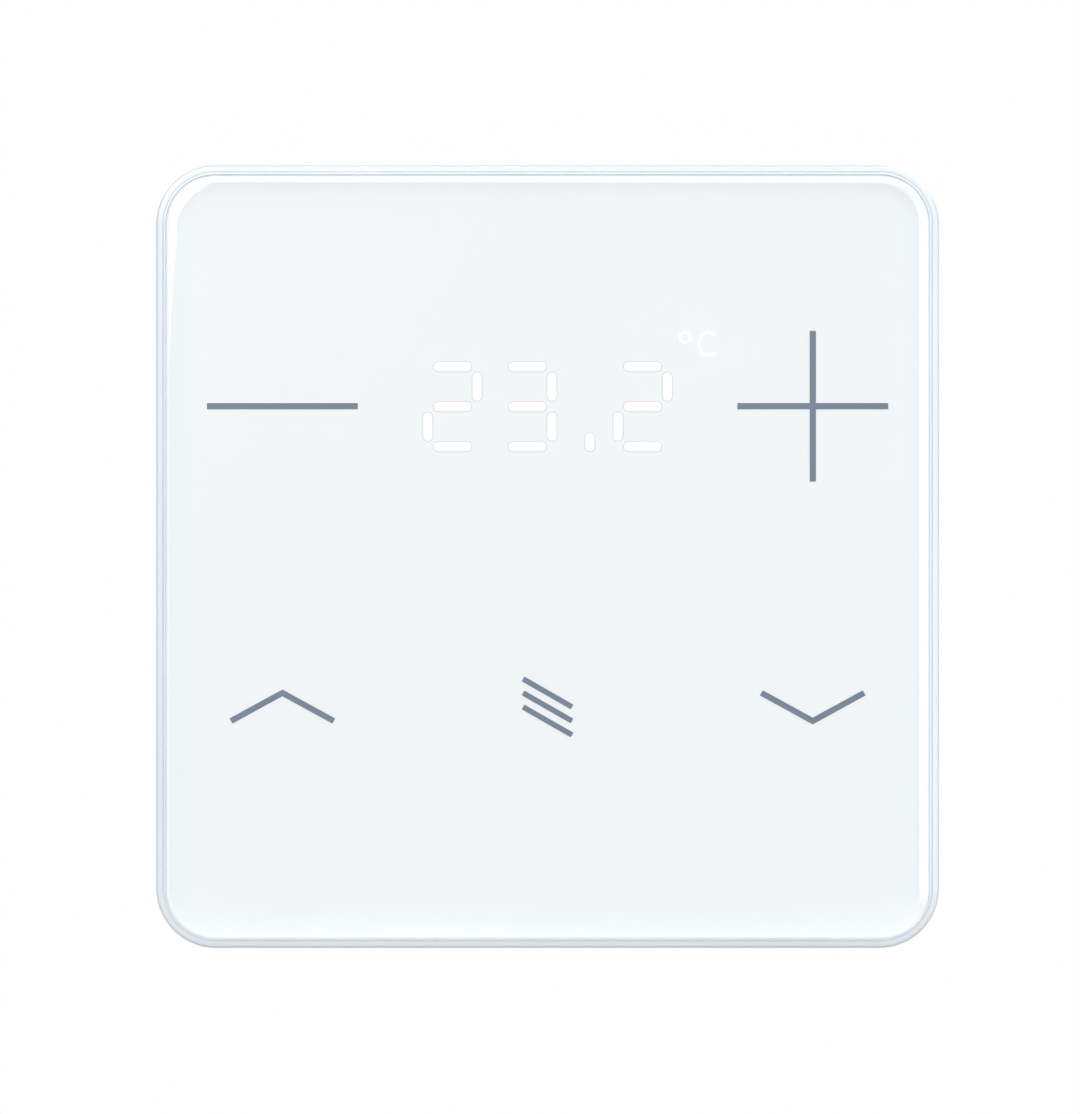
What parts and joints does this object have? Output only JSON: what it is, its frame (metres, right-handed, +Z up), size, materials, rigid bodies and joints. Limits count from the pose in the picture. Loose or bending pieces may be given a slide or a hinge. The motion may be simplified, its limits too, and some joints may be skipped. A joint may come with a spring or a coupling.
{
  "type": "wall thermostat",
  "caption": "Flush square wall thermostat: rounded white glass touch panel with a lit reading, on a rear insert that clips into a steel wall-box carrier.",
  "frame": {"origin": "centre of the panel, in the plane of the wall's surface", "axes": "+Z up, +X to the right as seen from the room, +Y into the wall; the glass faces -Y"},
  "size_m": [0.0816, 0.0288, 0.0816],
  "materials": {
    "clear_glass": "clear float glass with polished rounded edges",
    "white_print": "opaque white back print with grey icons",
    "white_plastic": "pale blue-white satin moulding",
    "rear_plastic": "light grey fine-textured moulding",
    "adhesive_tape": "white foam tape",
    "frosted_plastic": "frosted translucent sheet",
    "conductive_foam": "dark conductive foam",
    "white_board": "white solder mask on glass fibre board",
    "green_board": "green solder mask on glass fibre board",
    "black_plastic": "black moulding and chip bodies",
    "red_plastic": "red terminal moulding",
    "grey_plastic": "dark grey terminal and button moulding",
    "spring_steel": "bright spring steel",
    "galvanised_steel": "galvanised sheet with a soft spangle",
    "zinc_screw": "zinc-plated steel",
    "tinned_brass": "tinned brass",
    "can_aluminium": "bare aluminium can",
    "red_lens": "clear red lens"
  },
  "bodies": {
    "carrier": {"carrier_plate": "galvanised_steel", "box_screw_left": "zinc_screw", "box_screw_right": "zinc_screw"},
    "device": {"front_glass": "clear_glass", "print_layer": "white_print", "bezel_frame": "white_plastic", "light_mask": "white_plastic", "rear_cover": "rear_plastic", "glass_tape": "adhesive_tape", "segment_diffuser": "frosted_plastic", "touch_pad_minus": "conductive_foam", "touch_pad_plus": "conductive_foam", "touch_pad_up": "conductive_foam", "touch_pad_slats": "conductive_foam", "touch_pad_down": "conductive_foam", "touch_board": "white_board", "main_board": "green_board", "sensor_board": "green_board", "touch_controller": "black_plastic", "led_driver": "black_plastic", "temperature_sensor": "black_plastic", "programming_switch": "black_plastic", "board_socket": "black_plastic", "board_header": "black_plastic", "main_controller": "black_plastic", "bus_transceiver": "black_plastic", "bus_choke": "black_plastic", "pin_holder": "black_plastic", "top_spring_clip": "spring_steel", "bottom_spring_clip": "spring_steel", "cover_screw_1": "zinc_screw", "cover_screw_2": "zinc_screw", "cover_screw_3": "zinc_screw", "cover_screw_4": "zinc_screw", "board_screw_left": "zinc_screw", "board_screw_right": "zinc_screw", "bus_pin_positive": "tinned_brass", "bus_pin_negative": "tinned_brass", "storage_capacitor": "can_aluminium", "quartz_crystal": "can_aluminium", "programming_led": "red_lens"},
    "bus_terminal": {"terminal_block_red": "red_plastic", "terminal_block_grey": "grey_plastic", "contact_sleeve_red": "tinned_brass", "contact_sleeve_grey": "tinned_brass"},
    "programming_button": {"programming_button": "grey_plastic"}
  },
  "joints": [
    {"name": "device_pull_off", "type": "slide", "parent": "carrier", "child": "device", "axis": [0, -1, 0], "range_m": [0, 0.03], "deforming": ["top_spring_clip", "bottom_spring_clip"]},
    {"name": "bus_terminal_pull", "type": "slide", "parent": "device", "child": "bus_terminal", "axis": [0, 1, 0], "range_m": [0, 0.012]},
    {"name": "programming_button_press", "type": "slide", "parent": "device", "child": "programming_button", "axis": [0, 0, 1], "range_m": [0, 0.0003], "stiffness_N_per_m": 2000, "springref_m": -0.0001}
  ]
}
